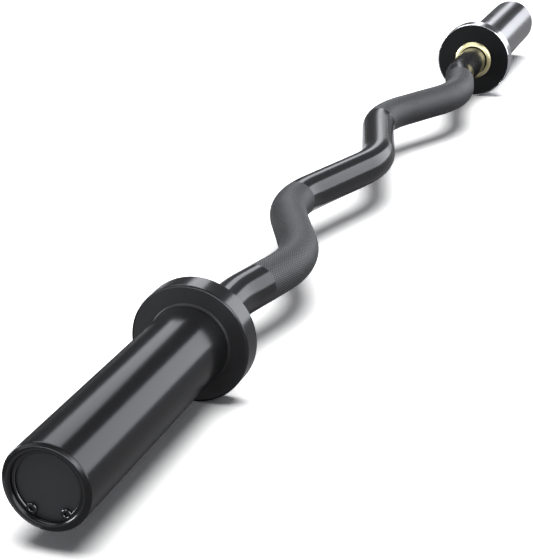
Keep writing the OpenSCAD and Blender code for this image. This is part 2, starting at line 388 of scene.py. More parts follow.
def shaft_finish():
    """Polished black shaft: faint streaks along the bar and a hint of ripple."""
    material, tree, shader = new_finish("shaft_black", SHAFT_COLOUR, SHAFT_ROUGHNESS[1],
                                        gloss=SHAFT_GLOSS)
    place = add(tree, "ShaderNodeAttribute", attribute_name="straightened").outputs["Vector"]
    streaks = noise(tree, place, STREAKS_PER_METRE, 2.0)
    ripple = noise(tree, place, RIPPLES_PER_METRE, 2.0)
    tree.links.new(spread(tree, streaks, *SHAFT_ROUGHNESS), shader.inputs["Roughness"])
    bump(tree, shader, ripple, RIPPLE_DEPTH)
    return material


shaft_black = shaft_finish()
print("a streak is about", round(1 / STREAKS_PER_METRE[0] / MM), "mm long")

# %% [markdown]
# ## The knurl's finish
#
# A knurl is a field of small diamonds between two families of slanted grooves. Hands and racks
# rub the points first, so they are smoother than the rough black grooves. The points are also
# painted paler and the grooves darker: partly wear, and partly painted light on the points and
# painted shade in the grooves. The diamonds are counted along and around the straight bar. The
# finish and the shape further down use the same count, so the pale points always sit on the
# real ones. Vertex colours could carry this too, but a formula stays sharp between the points
# of the mesh.

# %% How high a point of the knurl is
DIAMOND_LENGTH = 2.55 * MM
DIAMONDS_AROUND = 52


def groove_height(tree, along, around):
    """0 in a groove of either family and 1 on the point of a diamond, from two counts."""
    families = [sum_of(tree, way, along, around) for way in ("ADD", "SUBTRACT")]
    waves = [sum_of(tree, "PINGPONG", sum_of(tree, "MULTIPLY", n, 2.0), 1.0) for n in families]
    return sum_of(tree, "MINIMUM", *waves)


print("a diamond is", round(DIAMOND_LENGTH / MM, 2), "mm long,", DIAMONDS_AROUND, "go around")

# %% Worn points with painted light, grooves with painted shade
SHADED_VALLEY_COLOUR = (0.008, 0.0081, 0.009, 1)
WORN_LIT_CREST_COLOUR = (0.13, 0.1315, 0.137, 1)
VALLEY_ROUGHNESS = 0.57
CREST_POLISH = 0.2
KNURL_GLOSS = 0.75
PALE_POINT_FROM = 0.3
PALE_POINT_TO = 0.6
WEAR_PER_METRE = (60, 90, 90)
WEAR_SHARE = (0.8, 1.0)


def knurl_finish():
    """Rough black grooves with painted shade, and smoother points, paler from wear and painted
    light.
    """
    material, tree, shader = new_finish("knurl_black", SHADED_VALLEY_COLOUR[:3], VALLEY_ROUGHNESS,
                                        gloss=KNURL_GLOSS)
    place = add(tree, "ShaderNodeAttribute", attribute_name="straightened").outputs["Vector"]
    along, across, up = parts_of(tree, place)
    turn = sum_of(tree, "DIVIDE", sum_of(tree, "ARCTAN2", up, across), math.tau)
    height = groove_height(tree, sum_of(tree, "DIVIDE", along, DIAMOND_LENGTH),
                           sum_of(tree, "MULTIPLY", turn, DIAMONDS_AROUND))
    point = add(tree, "ShaderNodeMapRange", [
        ("Value", height), ("From Min", PALE_POINT_FROM), ("From Max", PALE_POINT_TO),
    ], interpolation_type="SMOOTHSTEP").outputs[0]
    wear = spread(tree, noise(tree, place, WEAR_PER_METRE), *WEAR_SHARE)
    worn_and_lit = sum_of(tree, "MULTIPLY", point, wear)
    # Paler points and darker grooves: wear, painted light on the points and painted shade in the
    # grooves.
    paint(tree, worn_and_lit, SHADED_VALLEY_COLOUR, WORN_LIT_CREST_COLOUR)
    polish = sum_of(tree, "MULTIPLY", worn_and_lit, CREST_POLISH)
    rough = sum_of(tree, "SUBTRACT", VALLEY_ROUGHNESS, polish)
    tree.links.new(rough, shader.inputs["Roughness"])
    return material


knurl_black = knurl_finish()
print("the knurl's finish has", len(knurl_black.node_tree.nodes), "nodes")

# %% [markdown]
# ## A lathe made of nodes
#
# Sleeves, collars, plates and bushes are all solids of revolution, so one tree makes them
# all. A flat grid is rolled into a tube: its columns become angles about the bar, and each
# row takes its place and radius from one point of the outline. A spin in edit mode would do
# it too, but the tree can be fed with a new outline at any time.

# %% How a shape tree begins and ends


def new_tree(name, inputs):
    """A geometry tree with named inputs, and the outputs of its input node."""
    tree = bpy.data.node_groups.new(name, "GeometryNodeTree")
    sockets = tree.interface
    sockets.new_socket("Geometry", in_out="INPUT", socket_type="NodeSocketGeometry")
    for label, kind in inputs:
        sockets.new_socket(label, in_out="INPUT", socket_type="NodeSocket" + kind)
    sockets.new_socket("Geometry", in_out="OUTPUT", socket_type="NodeSocketGeometry")
    return tree, tree.nodes.new("NodeGroupInput").outputs


def close_tree(tree, geometry, material):
    """The tree's last steps: real geometry, a material and the output."""
    real = add(tree, "GeometryNodeRealizeInstances", [(0, geometry)])
    painted = add(tree, "GeometryNodeSetMaterial", [(0, real.outputs[0]), ("Material", material)])
    add(tree, "NodeGroupOutput", [(0, painted.outputs[0])])


trial, given = new_tree("trial", [("Length", "Float")])
print("a trial tree takes", [socket.name for socket in given if socket.name])
bpy.data.node_groups.remove(trial)

# %% The lathe
WELD = 0.0005 * MM


def point_of_row(tree, outline, rows, line, here):
    """The point of the outline that one row of the grid stands for."""
    last = sum_of(tree, "SUBTRACT", rows, 1.0)
    row = sum_of(tree, "MULTIPLY", sum_of(tree, "ADD", line, 0.5), last)
    return add(tree, "GeometryNodeSampleIndex", [
        ("Geometry", outline), ("Value", here), ("Index", sum_of(tree, "ROUND", row)),
    ], data_type="FLOAT_VECTOR").outputs[0]


def lathe_tree():
    """Rolls a grid one metre square, centred on the origin, round the bar."""
    tree, given = new_tree("lathe", [("Segments", "Int"), ("Material", "Material")])
    outline = given["Geometry"]
    rows = add(tree, "GeometryNodeAttributeDomainSize", [(0, outline)]).outputs["Point Count"]
    grid = add(tree, "GeometryNodeMeshGrid", [
        ("Size X", 1.0), ("Size Y", 1.0), ("Vertices Y", rows),
        ("Vertices X", sum_of(tree, "ADD", given["Segments"], 1.0)),
    ]).outputs["Mesh"]
    here = add(tree, "GeometryNodeInputPosition").outputs[0]
    column, line, _ = parts_of(tree, here)
    angle = sum_of(tree, "MULTIPLY", sum_of(tree, "ADD", column, 0.5), math.tau)
    along, _, radius = parts_of(tree, point_of_row(tree, outline, rows, line, here))
    rolled = add(tree, "ShaderNodeCombineXYZ", [
        (0, along),
        (1, sum_of(tree, "MULTIPLY", radius, sum_of(tree, "SINE", angle))),
        (2, sum_of(tree, "MULTIPLY", radius, sum_of(tree, "COSINE", angle))),
    ]).outputs[0]
    tube = add(tree, "GeometryNodeSetPosition", [("Geometry", grid), ("Position", rolled)])
    welded = add(tree, "GeometryNodeMergeByDistance", [
        ("Geometry", tube.outputs[0]), ("Distance", WELD),
    ])
    close_tree(tree, welded.outputs[0], given["Material"])
    return tree


LATHE = lathe_tree()
print("the lathe has", len(LATHE.nodes), "nodes")

# %% [markdown]
# ## From a tree to a plain mesh
#
# A piece has to leave this notebook as a plain mesh, with no modifier left on it. `baked` puts
# the tree on a carrier object and sets its named inputs. `plain_mesh` then takes the
# evaluated mesh and throws the carrier away. Rolling can turn a shape inside out, and a closed
# mesh tells: the volume inside it comes out negative, and then its faces are flipped.

# %% Running a tree and keeping the mesh
SHARP_ANGLE = math.radians(35)


def volume_of(mesh):
    """Volume inside a closed mesh, negative where its faces point inwards."""
    mesh.calc_loop_triangles()
    corners = ([mesh.vertices[i].co for i in t.vertices] for t in mesh.loop_triangles)
    return sum(a.dot(b.cross(c)) for a, b, c in corners) / 6


def plain_mesh(name, carrier):
    """The mesh that a carrier object shows. The carrier itself is thrown away."""
    seen = carrier.evaluated_get(bpy.context.evaluated_depsgraph_get())
    mesh = bpy.data.meshes.new_from_object(seen)
    mesh.name = name
    bpy.data.objects.remove(carrier)
    return mesh


def baked(name, source, tree, values):
    """Runs a tree on a source mesh and returns the plain, closed mesh that comes out."""
    carrier = in_scene(name + "_source", source)
    modifier = carrier.modifiers.new("tree", "NODES")
    modifier.node_group = tree
    for item in tree.interface.items_tree:
        if item.in_out == "INPUT" and item.name in values:
            modifier[item.identifier] = values[item.name]
    mesh = plain_mesh(name, carrier)
    if volume_of(mesh) < 0:
        mesh.flip_normals()
    mesh.shade_smooth()
    mesh.set_sharp_from_angle(angle=SHARP_ANGLE)
    return mesh


print("edges that turn by more than", round(math.degrees(SHARP_ANGLE)), "degrees stay sharp")

# %% [markdown]
# ## Outlines with eased edges
#
# No machined edge is perfectly sharp: a touch of the file leaves a narrow round that catches
# the light, and that bright line is what makes a render look like metal. `eased` rounds each
# corner of an outline. It also puts a point on the flats just beside each round, so that the
# turn of the shading stays in the round and the flats stay flat. A Bevel modifier could round
# the finished mesh, but it would have to find the edges again.

# %% Rounding the corners of an outline
EDGE_STEPS = 3
EDGE_SHARE = 0.35
HOLD = 0.08 * MM
HOLD_SHARE = 0.3


def eased(outline, radius):
    """Rounds the corners of an outline of (place, radius) pairs, off the axis only."""
    points = [Vector(p) for p in outline]
    made = []
    for i, corner in enumerate(points):
        if corner.y == 0:
            made.append(corner)
            continue
        back = points[i - 1] - corner
        ahead = points[(i + 1) % len(points)] - corner
        cut = min(radius, EDGE_SHARE * back.length, EDGE_SHARE * ahead.length)
        start = corner + back.normalized() * cut
        end = corner + ahead.normalized() * cut
        made.append(start + back.normalized() * min(HOLD, HOLD_SHARE * cut))
        for k in range(EDGE_STEPS + 1):
            t = k / EDGE_STEPS
            made.append((1 - t) ** 2 * start + 2 * t * (1 - t) * corner + t ** 2 * end)
        made.append(end + ahead.normalized() * min(HOLD, HOLD_SHARE * cut))
    return made


trial_outline = [(0, 10 * MM), (0, 20 * MM), (2 * MM, 20 * MM), (2 * MM, 10 * MM)]
print(len(trial_outline), "corners become", len(eased(trial_outline, 0.2 * MM)), "points")

# %% Turning an outline
LATHE_SEGMENTS = 192


def turned(name, outline, material, left=False, edge=0.2 * MM):
    """Turns an outline of the right-hand end, or its mirror image, into a solid."""
    points = eased(outline, edge)
    if points[0].y > 0:
        points.append(points[0])
    side = -1 if left else 1
    source = bpy.data.meshes.new(name + "_outline")
    source.from_pydata([(side * p.x, 0, p.y) for p in points], [], [])
    return baked(name, source, LATHE, {"Segments": LATHE_SEGMENTS, "Material": material})


trial = turned("trial", trial_outline, steel)
print("a trial washer holds", round(volume_of(trial) / CM**3, 2), "cm3")
bpy.data.meshes.remove(trial)

# %% [markdown]
# ## Sleeves and collars
#
# The sleeve is bored in steps for its two bushes, and its free end has a recess with a groove
# for the retaining ring. The collar is a heavy ring with a low hub, pressed on the sleeve's
# seat. An outline goes once round the cut through the wall, with a step for each shoulder,
# groove and bevel. Stacked cylinders would look alike from outside, but they would overlap
# inside.

# %% Outline of the sleeve
SEAT_GAP = 0.02 * MM
SEAT_STEP = 0.6 * MM
SLEEVE_BEVEL = 2.5 * MM
SLEEVE_BEVEL_DEPTH = 1.2 * MM
RECESS_MOUTH = 1 * MM
RING_GROOVE = 1.2 * MM
CHAMBER_R = 18.5 * MM
RELIEF_R = 14.5 * MM

bush_hole_r = bush_r + SEAT_GAP
seat_r = sleeve_r - SEAT_STEP
recess_r = plate_r + SEAT_GAP
groove_r = recess_r + RING_GROOVE
sleeve_outline = [
    (sleeve_start, bush_hole_r),
    (sleeve_start, seat_r),
    (hub_out, seat_r),
    (hub_out, sleeve_r),
    (sleeve_end - SLEEVE_BEVEL_DEPTH, sleeve_r),
    (sleeve_end, sleeve_r - SLEEVE_BEVEL),
    (sleeve_end, recess_r + RECESS_MOUTH),
    (sleeve_end - RECESS_MOUTH, recess_r),
    (ring_out, recess_r),
    (ring_out, groove_r),
    (plate_out, groove_r),
    (plate_out, recess_r),
    (plate_in, recess_r),
    (plate_in, CHAMBER_R),
    (washer_in, CHAMBER_R),
    (washer_in, bush_hole_r),
    (outer_bush_in, bush_hole_r),
    (outer_bush_in, RELIEF_R),
    (inner_bush_end, RELIEF_R),
    (inner_bush_end, bush_hole_r),
]
print("the sleeve's outline has", len(sleeve_outline), "corners")

# %% Outline of the collar
HUB_HEIGHT = 1.2 * MM
HUB_WIDTH = 1 * MM
COLLAR_BEVEL_DEPTH = 0.5 * MM
FACE_BEVEL = 0.55 * MM

collar_out = hub_out - HUB_HEIGHT
collar_outline = [
    (sleeve_start, seat_r + SEAT_GAP),
    (sleeve_start, face_r + SEAT_GAP),
    (collar_in, face_r + SEAT_GAP),
    (collar_in, collar_r - FACE_BEVEL),
    (collar_in + COLLAR_BEVEL_DEPTH, collar_r),
    (collar_out - COLLAR_BEVEL_DEPTH, collar_r),
    (collar_out, collar_r - COLLAR_BEVEL),
    (collar_out, sleeve_r + HUB_WIDTH),
    (hub_out, sleeve_r + HUB_WIDTH),
    (hub_out, seat_r + SEAT_GAP),
]
print("the collar is", round((collar_out - collar_in) / MM, 1), "mm thick without its hub")

# %% [markdown]
# ## Plates and bushes
#
# The face plate is a thin ring on the grip side of the collar, and the end plate is the disc
# that closes the sleeve. The inner bush lines the bore, and its flange shows round the shaft.
# The flange is slightly crowned, with a shallow groove next to the shaft, and both are turned,
# so two more steps in the outline make them. An outline that starts and ends on the middle
# line, such as the end plate's, gives a disc without a hole.

# %% Outlines of the plates and the bush
LOOSE_GAP = 0.3 * MM
JOURNAL_R = 12.5 * MM
BORE_R = JOURNAL_R + 0.05 * MM
FLANGE_BEVEL = 1.8 * MM
FLANGE_BEVEL_DEPTH = 0.8 * MM
FLANGE_CROWN = 0.3 * MM
FLANGE_GROOVE_R = 14.9 * MM
FLANGE_GROOVE = 0.8 * MM

face_plate_outline = [
    (collar_in, flange_r + LOOSE_GAP),
    (collar_in, face_r),
    (sleeve_start, face_r),
    (sleeve_start, flange_r + LOOSE_GAP),
]
inner_bush_outline = [
    (flange_in + FLANGE_GROOVE, BORE_R),
    (flange_in + FLANGE_GROOVE, FLANGE_GROOVE_R),
    (flange_in, FLANGE_GROOVE_R),
    (flange_in + FLANGE_CROWN, flange_r - FLANGE_BEVEL),
    (flange_in + FLANGE_CROWN + FLANGE_BEVEL_DEPTH, flange_r),
    (sleeve_start, flange_r),
    (sleeve_start, bush_r),
    (inner_bush_end, bush_r),
    (inner_bush_end, BORE_R),
]
end_plate_outline = [
    (plate_in, 0),
    (plate_in, plate_r),
    (plate_out, plate_r),
    (plate_out, 0),
]
print("the flange stands", round((sleeve_start - flange_in) / MM, 1), "mm out of the sleeve")

# %% [markdown]
# ## Turning both ends
#
# Each turned mesh stands for one node of the frame and moves with that node's body, here the
# sleeve body of its end. A weight that is pushed on the sleeve spins with it, and so do the
# collar, the face plate, the bush and the end plate. One mesh could hold a whole end, but
# separate pieces come apart as the real ones do.

# %% Putting a piece in the scene


def placed(name, mesh, body, nodes):
    """Puts a finished mesh in the scene as a piece that stands for its CAD nodes."""
    piece = in_scene(name, mesh)
    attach(piece, body)
    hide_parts(*nodes)
    print(name, len(mesh.polygons), "faces,", round(volume_of(mesh) / CM**3, 2), "cm3")
    return piece


# %% Turn both ends
ENDS = [
    ("left", sleeve_black, collar_black, "sleeve_black", "collar_black"),
    ("right", sleeve_chrome, collar_chrome, "sleeve_chrome", "collar_chrome"),
]
for side, sleeve_look, collar_look, sleeve_slot, collar_slot in ENDS:
    left = side == "left"
    body = side + "_sleeve_body"
    work = [
        ("sleeve", sleeve_outline, sleeve_look, sleeve_slot, 0.5),
        ("collar", collar_outline, collar_look, collar_slot, 0.35),
        ("face_plate", face_plate_outline, face_black, "face_plate_black", 0.2),
        ("inner_bush", inner_bush_outline, bronze, "bush_bronze", 0.2),
        ("end_plate", end_plate_outline, end_black, "end_plate_black", 0.15),
    ]
    for part, outline, look, slot, edge in work:
        node = side + "_" + part
        mesh = turned(node + "_turned", outline, look, left, edge * MM)
        placed(node + "_turned", mesh, body, [node])

# %% [markdown]
# ## Stamped rings
#
# A retaining ring is stamped from sheet, so its edges are slightly rolled over, and they are
# where pliers and handling wear the dark finish off. Its outline is four arcs, two of them
# round the lugs, and each lug has a hole. A flat curve takes such an outline, fills it and
# gives it a thickness and slanted edges in one go, and the slanted faces get the bare steel.
# A bevel on a mesh would do it too, but it breaks where the small holes are close to an edge.

# %% Points on an arc


def arc(centre, radius, start, end, steps):
    """Points on a circle, with angles counted in radians from straight down."""
    angles = [start + (end - start) * k / steps for k in range(steps + 1)]
    return [(centre[0] + radius * math.sin(a), centre[1] - radius * math.cos(a))
            for a in angles]


quarter = arc((0, 0), 1, 0, math.pi / 2, 2)
print("a quarter of a circle:", [(round(u, 2), round(v, 2)) for u, v in quarter])

# %% The outline of the retaining ring
RING_STAND = 1.9 * MM
LUG_R = 3 * MM
LUG_HOLE_R = 1.25 * MM
LUG_REACH = 2.6 * MM
LUG_ANGLE = math.radians(34)
LUG_STEPS = 16
HOLE_STEPS = 20
OUTER_STEPS = 140
INNER_STEPS = 110


def ring_paths():
    """The outline of the retaining ring and its two lug holes, as closed paths."""
    ring_r = groove_r - SEAT_GAP
    inner_r = recess_r - RING_STAND
    place = recess_r - LUG_REACH
    gap = LUG_ANGLE - math.asin(LUG_R / place)
    meet = math.acos((inner_r**2 + place**2 - LUG_R**2) / (2 * inner_r * place))
    half = math.acos((place**2 + LUG_R**2 - inner_r**2) / (2 * place * LUG_R))
    lugs = []
    holes = []
    for angle in (LUG_ANGLE, math.tau - LUG_ANGLE):
        centre = arc((0, 0), place, angle, angle, 1)[0]
        inward = angle + math.pi
        lugs.append(arc(centre, LUG_R, inward - half, inward + half, LUG_STEPS))
        holes.append(arc(centre, LUG_HOLE_R, 0, math.tau, HOLE_STEPS)[:-1])
    outer = arc((0, 0), ring_r, gap, math.tau - gap, OUTER_STEPS)
    inner = arc((0, 0), inner_r, math.tau - LUG_ANGLE - meet, LUG_ANGLE + meet, INNER_STEPS)
    return [outer + lugs[1] + inner[1:-1] + lugs[0], *holes]


print("points on the ring and its two holes:", [len(path) for path in ring_paths()])

# %% Filling the outline
STAMPED_EDGE = 0.3 * MM


def filled_ring(name):
    """The retaining ring lying flat, from a curve with a thickness and slanted edges."""
    curve = bpy.data.curves.new(name + "_outline", "CURVE")
    curve.dimensions = "2D"
    curve.fill_mode = "BOTH"
    curve.extrude = (ring_out - plate_out) / 2 - STAMPED_EDGE
    curve.bevel_depth = STAMPED_EDGE
    curve.bevel_resolution = 0
    curve.offset = -STAMPED_EDGE
    for path in ring_paths():
        line = curve.splines.new("POLY")
        line.points.add(len(path) - 1)
        line.points.foreach_set("co", [c for u, v in path for c in (u, v, 0, 1)])
        line.use_cyclic_u = True
    return plain_mesh(name, in_scene(name + "_outline", curve))


trial = filled_ring("trial")
print("the flat ring has", len(trial.polygons), "faces before its doubles are merged")
bpy.data.meshes.remove(trial)

# %% Worn edges, and standing the ring up
SLANTED = (0.1, 0.95)


def stamped(name, left, face, edge):
    """The retaining ring in its groove, with bare steel on its slanted edges."""
    mesh = filled_ring(name)
    mesh.materials.clear()
    mesh.materials.append(face)
    mesh.materials.append(edge)
    middle = (ring_out + plate_out) / 2 * (-1 if left else 1)
    work = bmesh.new()
    work.from_mesh(mesh)
    bmesh.ops.remove_doubles(work, verts=work.verts, dist=WELD)
    bmesh.ops.recalc_face_normals(work, faces=work.faces)
    work.normal_update()
    for f in work.faces:
        f.smooth = True
        f.material_index = 1 if SLANTED[0] < abs(f.normal.z) < SLANTED[1] else 0
    for e in work.edges:
        one, other = e.link_faces
        e.smooth = (one.material_index == other.material_index
                    and one.normal.angle(other.normal) < SHARP_ANGLE)
    for v in work.verts:
        v.co = Vector((v.co.z + middle, v.co.x, v.co.y))
    work.to_mesh(mesh)
    work.free()
    return mesh


for side in ("left", "right"):
    node = side + "_end_ring"
    mesh = stamped(node + "_stamped", side == "left", ring_dark, ring_worn)
    placed(node + "_stamped", mesh, side + "_sleeve_body", [node])

# %% [markdown]
# ## Hidden pieces
#
# The washers, the outer bushes and the shaft rings are closed in by the sleeves. Their CAD
# shapes are already right, so they stay as they are and only get the finish of their metal.

# %% Finishes of the pieces inside
HIDDEN_PIECES = [
    ("outer_bush", bronze),
    ("wear_washer", bronze),
    ("stop_washer", steel),
    ("shaft_ring", ring_dark),
]
for side in ("left", "right"):
    for part, look in HIDDEN_PIECES:
        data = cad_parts[side + "_" + part].data
        data.materials.clear()
        data.materials.append(look)
print("hidden pieces at each end:", len(HIDDEN_PIECES))

# %% [markdown]
# ## The shaft's middle line
#
# The shaft is a straight bar bent cold at seven places, all in one plane and all to the same
# radius. Its middle line is a list of corners, and each corner becomes an arc. The bends are
# the same on both sides, so only one side is written down. A Bezier curve through the corners
# would look alike, but its bends would have no true radius.

# %% The bends
THRUST_GAP = 0.3 * MM
SHOULDER_BEVEL = 1 * MM
BEND_RADIUS = 95 * MM
OUTER_BEND_X = 328 * MM
SHALLOW_BEND = (244 * MM, -19 * MM)
DEEP_BEND = (134 * MM, 32.5 * MM)
MIDDLE_BEND_Y = -5.5 * MM

shoulder_x = flange_in - THRUST_GAP
right_side = [DEEP_BEND, SHALLOW_BEND, (OUTER_BEND_X, 0), (shoulder_x - SHOULDER_BEVEL, 0)]
left_side = [(-x, y) for x, y in reversed(right_side)]
corners = [Vector((x, y, 0)) for x, y in left_side + [(0, MIDDLE_BEND_Y)] + right_side]
print("bends:", len(corners) - 2)

# %% An arc at every corner
ARC_STEP = math.radians(1)


def bent_line(corners, radius):
    """The middle line of a bent bar: straight stretches joined by arcs."""
    line = [corners[0]]
    for before, corner, after in zip(corners, corners[1:], corners[2:]):
        back = (before - corner).normalized()
        ahead = (after - corner).normalized()
        turn = math.pi - back.angle(ahead)
        middle = corner + (back + ahead).normalized() * radius / math.cos(turn / 2)
        arm = corner + back * radius * math.tan(turn / 2) - middle
        way = 1 if back.cross(ahead).z < 0 else -1
        steps = math.ceil(turn / ARC_STEP)
        for k in range(steps + 1):
            line.append(middle + Matrix.Rotation(way * turn * k / steps, 3, "Z") @ arm)
    line.append(corners[-1])
    return line


middle_line = bent_line(corners, BEND_RADIUS)
print("points on the middle line:", len(middle_line))

# %% Lengths along the line


def length_at(x):
    """Distance along the middle line to the place where it passes x."""
    gone = 0
    for a, b in zip(middle_line, middle_line[1:]):
        if b.x >= x:
            return gone + (b - a).length * (x - a.x) / (b.x - a.x)
        gone += (b - a).length
    return gone


bar_length = length_at(corners[-1].x)
print("the bar was", round(bar_length / MM), "mm long before bending, between its shoulders")

# %% [markdown]
# ## Sweeping and knurling
#
# A knurl is rolled into the bar by two slanted wheels. Each wheel presses a family of parallel
# grooves, and what is left between the two families are small diamonds, here about 2.6 mm
# long and 1.7 mm wide. One tree sweeps any stretch of the shaft: rings of points follow the
# middle line, four to a diamond, with four points to a diamond around. A point's height is
# its distance from the nearest groove of either family, counted as the finish counts it.
# With no relief the same tree makes the smooth stretches. A bump map would be lighter, but
# then the bar's outline would stay smooth.

# %% Evenly spaced points along a stretch


def even_line(tree, given):
    """The middle line from Start to End with evenly spaced points, and how many steps."""
    line = add(tree, "GeometryNodeMeshToCurve", [(0, given["Geometry"])]).outputs[0]
    cut = add(tree, "GeometryNodeTrimCurve", [
        (0, line), (4, given["Start"]), (5, given["End"]),
    ], mode="LENGTH").outputs[0]
    stretch_length = sum_of(tree, "SUBTRACT", given["End"], given["Start"])
    steps = sum_of(tree, "ROUND", sum_of(tree, "DIVIDE", stretch_length, given["Spacing"]))
    even = add(tree, "GeometryNodeResampleCurve", [
        ("Curve", cut), ("Count", sum_of(tree, "ADD", steps, 1.0)),
    ], mode="COUNT").outputs[0]
    return even, steps


def numbered(tree, curve, label, place):
    """A curve whose points keep their number and place through the sweep, and those two."""
    keep = tree.nodes.new("GeometryNodeCaptureAttribute")
    keep.domain = "POINT"
    keep.capture_items.new("INT", label)
    keep.capture_items.new("VECTOR", label + " place")
    tree.links.new(curve, keep.inputs[0])
    tree.links.new(add(tree, "GeometryNodeInputIndex").outputs[0], keep.inputs[1])
    tree.links.new(place, keep.inputs[2])
    return keep.outputs[0], keep.outputs[1], keep.outputs[2]


print("the bar has room for", int(bar_length / DIAMOND_LENGTH), "diamonds in a row")

# %% Raising the diamonds
POINTS_PER_DIAMOND = 4
GROOVE_SHARE = 0.55


def diamond_lift(tree, ring, side, steps, relief):
    """How far a point moves outwards. The first and the last ring stay where they are."""
    counts = [sum_of(tree, "DIVIDE", n, POINTS_PER_DIAMOND) for n in (ring, side)]
    height = groove_height(tree, *counts)
    inner = sum_of(tree, "MULTIPLY", sum_of(tree, "GREATER_THAN", ring, 0.5),
                   sum_of(tree, "LESS_THAN", ring, sum_of(tree, "SUBTRACT", steps, 0.5)))
    return sum_of(tree, "MULTIPLY", sum_of(tree, "SUBTRACT", height, GROOVE_SHARE),
                  sum_of(tree, "MULTIPLY", inner, relief))


def pushed_out(tree, tube, here, middle, lift):
    """The tube with every point moved away from the middle line by its lift."""
    outward = add(tree, "ShaderNodeVectorMath", [(0, here), (1, middle)],
                  operation="SUBTRACT").outputs[0]
    unit = add(tree, "ShaderNodeVectorMath", [(0, outward)], operation="NORMALIZE").outputs[0]
    shift = add(tree, "ShaderNodeVectorMath", [(0, unit), ("Scale", lift)],
                operation="SCALE").outputs[0]
    moved = add(tree, "GeometryNodeSetPosition", [("Geometry", tube), ("Offset", shift)])
    return moved.outputs[0]


print("grooves go", round(100 * GROOVE_SHARE), "% of the relief below the bar's own surface")

# %% The sweep


def with_straight_place(tree, tube, given, ring, profile_place):
    """Triangles that know where each point lay on the bar before it was bent."""
    along = sum_of(tree, "ADD", given["Start"], sum_of(tree, "MULTIPLY", ring, given["Spacing"]))
    across, up, _ = parts_of(tree, profile_place)
    straight = add(tree, "ShaderNodeCombineXYZ", [(0, along), (1, across), (2, up)]).outputs[0]
    faces = add(tree, "GeometryNodeTriangulate", [(0, tube)]).outputs[0]
    return add(tree, "GeometryNodeStoreNamedAttribute", [
        ("Geometry", faces), ("Name", "straightened"), ("Value", straight),
    ], data_type="FLOAT_VECTOR").outputs[0]


def sweep_tree():
    """Sweeps a circle along a stretch of the middle line and raises the diamonds on it."""
    tree, given = new_tree("bar stretch", [
        ("Start", "Float"), ("End", "Float"), ("Radius", "Float"), ("Spacing", "Float"),
        ("Sides", "Int"), ("Relief", "Float"), ("Material", "Material"),
    ])
    line, steps = even_line(tree, given)
    here = add(tree, "GeometryNodeInputPosition").outputs[0]
    path, ring, middle = numbered(tree, line, "ring", here)
    circle = add(tree, "GeometryNodeCurvePrimitiveCircle", [
        ("Resolution", given["Sides"]), ("Radius", given["Radius"]),
    ]).outputs[0]
    profile, side, profile_place = numbered(tree, circle, "side", here)
    tube = add(tree, "GeometryNodeCurveToMesh", [
        ("Curve", path), ("Profile Curve", profile), ("Fill Caps", True),
    ]).outputs[0]
    lift = diamond_lift(tree, ring, side, steps, given["Relief"])
    raised = pushed_out(tree, tube, here, middle, lift)
    known = with_straight_place(tree, raised, given, ring, profile_place)
    close_tree(tree, known, given["Material"])
    return tree


SWEEP = sweep_tree()
print("the sweep has", len(SWEEP.nodes), "nodes")

# %% [markdown]
# ## The five stretches of the shaft
#
# From the left collar the shaft is smooth, knurled, smooth across the middle, knurled again
# and smooth up to the right collar. The smooth stretches and the two turned journals become
# one piece, and each knurl is a piece of its own, which keeps every mesh light. A knurl starts
# and ends on a whole diamond, so that its edge is clean.

# %% Where the knurls start and end
LEFT_KNURL = (-300 * MM, -118 * MM)
RIGHT_KNURL = (118 * MM, 300 * MM)


def whole_diamonds(x):
    """The length at x, moved to where a whole number of diamonds ends."""
    return round(length_at(x) / DIAMOND_LENGTH) * DIAMOND_LENGTH


left_start, left_end, right_start, right_end = [
    whole_diamonds(x) for x in LEFT_KNURL + RIGHT_KNURL]
print("each knurl is", round((left_end - left_start) / MM, 1), "mm long")

# %% One stretch of the shaft
SHAFT_R = 14 * MM


def stretch(name, start, end, spacing, sides, relief, material):
    """One stretch of the shaft between two lengths along its middle line."""
    source = bpy.data.meshes.new(name + "_line")
    links = [(i, i + 1) for i in range(len(middle_line) - 1)]
    source.from_pydata(middle_line, links, [])
    values = {"Start": start, "End": end, "Radius": SHAFT_R, "Spacing": spacing,
              "Sides": sides, "Relief": relief, "Material": material}
    return baked(name, source, SWEEP, values)


def joined(name, meshes):
    """Several meshes with one material as one mesh."""
    whole = bmesh.new()
    for mesh in meshes:
        whole.from_mesh(mesh)
    made = bpy.data.meshes.new(name)
    whole.to_mesh(made)
    whole.free()
    made.materials.append(meshes[0].materials[0])
    return made


print("the shaft is", round(2 * SHAFT_R / MM), "mm thick")

# %% The smooth stretches and the journals
SMOOTH_SIDES = 96
SMOOTH_SPACING = 3 * MM
SHAFT_GROOVE_WIDTH = 1.3 * MM
SHAFT_GROOVE_DEPTH = 0.55 * MM
SHAFT_END_BEVEL = 1 * MM

groove_out = ring_in + SHAFT_GROOVE_WIDTH
groove_bottom = JOURNAL_R - SHAFT_GROOVE_DEPTH
journal_outline = [
    (shoulder_x - SHOULDER_BEVEL, 0),
    (shoulder_x - SHOULDER_BEVEL, SHAFT_R),
    (shoulder_x, SHAFT_R - SHOULDER_BEVEL),
    (shoulder_x, JOURNAL_R),
    (ring_in, JOURNAL_R),
    (ring_in, groove_bottom),
    (groove_out, groove_bottom),
    (groove_out, JOURNAL_R),
    (shaft_end - SHAFT_END_BEVEL, JOURNAL_R),
    (shaft_end, JOURNAL_R - SHAFT_END_BEVEL),
    (shaft_end, 0),
]
smooth = [(0, left_start), (left_end, right_start), (right_end, bar_length)]
pieces = [
    stretch("smooth", start, end, SMOOTH_SPACING, SMOOTH_SIDES, 0.0, shaft_black)
    for start, end in smooth
]
pieces += [turned("journal", journal_outline, shaft_black, left) for left in (True, False)]
placed("shaft_smooth", joined("shaft_smooth", pieces), "shaft_body", ["shaft"])

# %% The two knurls
KNURL_RELIEF = 0.25 * MM
KNURL_SIDES = DIAMONDS_AROUND * POINTS_PER_DIAMOND
KNURL_SPACING = DIAMOND_LENGTH / POINTS_PER_DIAMOND

